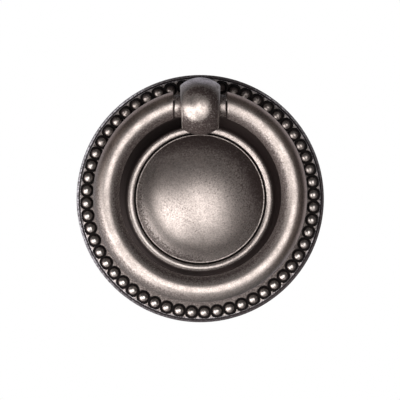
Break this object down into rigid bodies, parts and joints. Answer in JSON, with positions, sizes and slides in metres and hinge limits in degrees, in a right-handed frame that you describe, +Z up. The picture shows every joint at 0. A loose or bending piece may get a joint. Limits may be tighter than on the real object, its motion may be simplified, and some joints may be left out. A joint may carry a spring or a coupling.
{
  "type": "ring pull handle",
  "caption": "Round beaded rosette with a domed centre and a hinged drop ring on a ball post, fixed by one screw from behind; a pull for drawers and cabinet doors.",
  "frame": {"origin": "mouth of the tapped screw hole, on the plane of the rosette's back face", "axes": "+Z up the drawer front, +X to the right seen from the front, +Y into the drawer front, so the pull's front faces -Y"},
  "size_m": [0.056, 0.0174, 0.0559],
  "materials": {
    "rosette_pewter": "zinc alloy casting, antique pewter plating, dark patina in the recesses, rubbed bright on the edges, satin",
    "post_pewter": "zinc alloy casting, antique pewter plating, satin, rubbed edges",
    "ring_pewter": "zinc alloy casting, antique pewter plating, satin, rubbed on the crest of the bar"
  },
  "bodies": {
    "rosette": {"backplate": "rosette_pewter", "ball_post": "post_pewter"},
    "swing_ring": {"ring": "ring_pewter"}
  },
  "joints": [
    {"name": "ring_swing", "type": "hinge", "parent": "rosette", "child": "swing_ring", "pos_m": [0, -0.011, 0], "axis": [-1, 0, 0], "range_deg": [-8, 190]}
  ]
}
